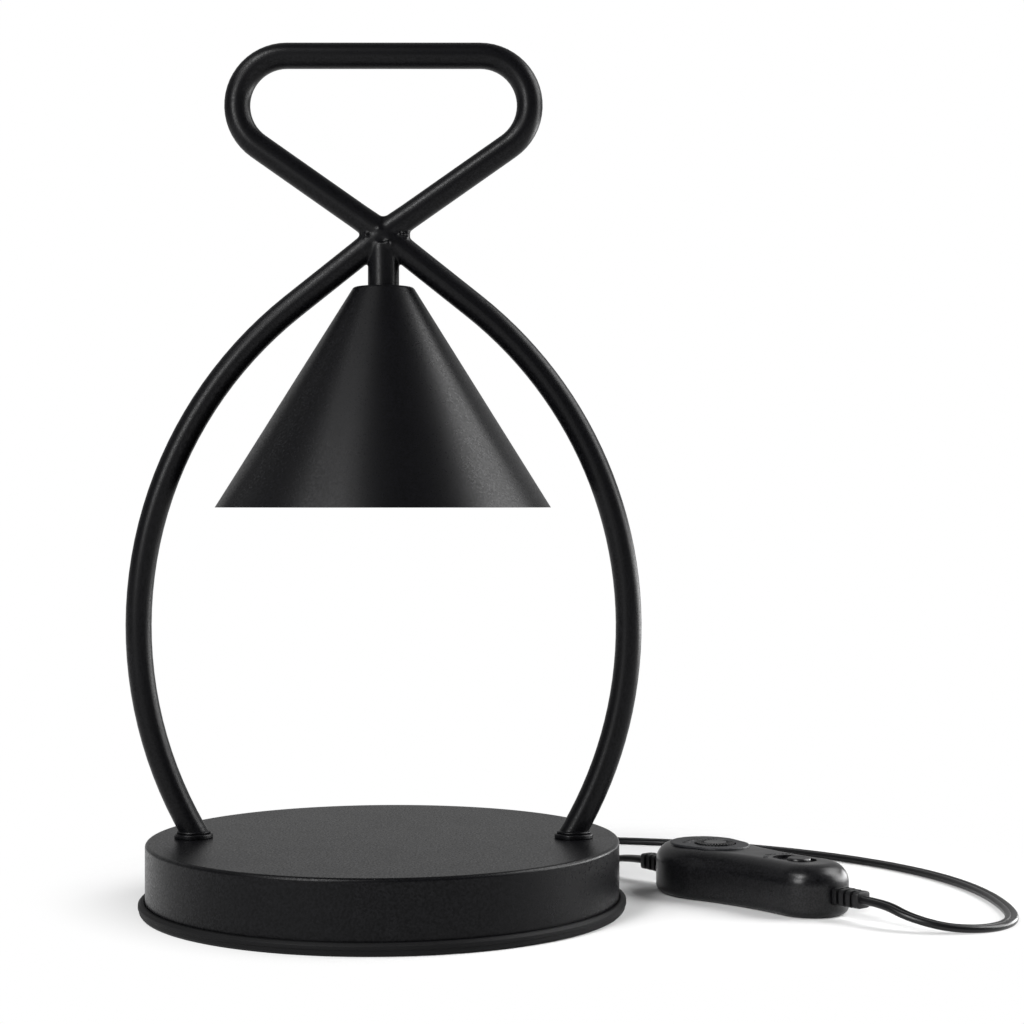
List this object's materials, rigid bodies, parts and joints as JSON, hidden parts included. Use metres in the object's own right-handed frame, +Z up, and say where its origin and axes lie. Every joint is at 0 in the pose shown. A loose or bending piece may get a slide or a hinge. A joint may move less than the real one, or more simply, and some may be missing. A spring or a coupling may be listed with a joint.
{
  "type": "candle warmer lamp",
  "caption": "Candle warmer lamp: crossed bent-tube frame with a carrying loop, cone shade over a weighted round base, in-line timer and dimmer.",
  "frame": {"origin": "middle of the round base, on the table", "axes": "+Z up, +X to the right of someone who faces the lamp, +Y away from them, towards the cord's exit at the back"},
  "size_m": [0.3675, 0.3, 0.3598],
  "materials": {
    "powder_coat": "matte black powder coat with a fine texture",
    "soft_black": "soft black plastic, satin",
    "black_sheet": "black painted sheet steel, satin",
    "cast_iron": "rough casting",
    "zinc_steel": "zinc plated",
    "white_nylon": "translucent white nylon",
    "brass": "plain brass",
    "cord_pvc": "black PVC, satin",
    "ceramic_white": "unglazed white steatite",
    "mirror_glass": "faceted glass with a dichroic mirror coat",
    "clear_glass": "clear, polished",
    "tungsten": "drawn tungsten",
    "lead_sleeve": "woven glass sleeve",
    "dimmer_plastic": "satin black with a fine grain",
    "grey_plastic": "moulded",
    "board": "green solder mask",
    "yellow_film": "moulded",
    "led": "clear resin",
    "light_pipe": "tinted clear plastic",
    "cord_tie": "black tie band",
    "plug_pvc": "black PVC, satin",
    "brass_nickel": "nickel plated brass"
  },
  "bodies": {
    "lamp": {"ballast_plate": "cast_iron", "base_edge_ring": "soft_black", "base_housing": "powder_coat", "base_pillars": "zinc_steel", "base_screws": "zinc_steel", "bottom_plate": "black_sheet", "button_switch": "grey_plastic", "cord_bushing": "soft_black", "cord_tail": "cord_pvc", "cord_tie": "cord_tie", "dimmer_board": "board", "dimmer_case_bottom": "dimmer_plastic", "dimmer_case_top": "dimmer_plastic", "dimmer_cord_tails": "cord_pvc", "dimmer_screws": "zinc_steel", "film_capacitor": "yellow_film", "foot_nuts": "zinc_steel", "foot_washers": "zinc_steel", "frame_tube": "powder_coat", "fuse": "clear_glass", "holder_bracket": "zinc_steel", "holder_contacts": "brass", "holder_cover": "ceramic_white", "holder_screws": "zinc_steel", "indicator_leds": "led", "lamp_cord": "cord_pvc", "lamp_holder": "ceramic_white", "lamp_lead": "lead_sleeve", "lamp_shade": "powder_coat", "left_foot_collar": "powder_coat", "light_pipes": "light_pipe", "plug_blades": "brass_nickel", "plug_body": "plug_pvc", "plug_cord_coil": "cord_pvc", "plug_cord_end": "cord_pvc", "plug_cord_run": "cord_pvc", "plug_relief": "plug_pvc", "relief_lamp_side": "soft_black", "relief_plug_side": "soft_black", "right_foot_collar": "powder_coat", "right_leg_tube": "powder_coat", "rotary_switch": "grey_plastic", "shade_nipple": "zinc_steel", "shade_nut": "brass", "shade_washer": "zinc_steel", "stem_tube": "powder_coat", "terminal_block": "white_nylon", "terminal_screws": "brass", "triac": "grey_plastic", "weld_beads": "powder_coat"},
    "bulb": {"bulb_base": "ceramic_white", "bulb_pins": "zinc_steel", "bulb_reflector": "mirror_glass", "bulb_front_glass": "clear_glass", "bulb_capsule": "clear_glass", "bulb_filament": "tungsten"},
    "timer_dial": {"timer_dial": "dimmer_plastic"},
    "dimmer_button": {"dimmer_button": "dimmer_plastic"}
  },
  "joints": [
    {"name": "timer_dial_turn", "type": "hinge", "parent": "lamp", "child": "timer_dial", "pos_m": [0.14102, 0.02947, 0.02], "axis": [0, 0, -1], "range_deg": [0, 69.6]},
    {"name": "dimmer_button_press", "type": "slide", "parent": "lamp", "child": "dimmer_button", "axis": [0, 0, -1], "range_m": [0, 0.001], "stiffness_N_per_m": 600, "springref_m": -0.0005},
    {"name": "lamp_twist_lock", "type": "hinge", "parent": "lamp", "child": "bulb", "pos_m": [0, 0, 0.223], "axis": [0, 0, -1], "range_deg": [0, 30]}
  ]
}
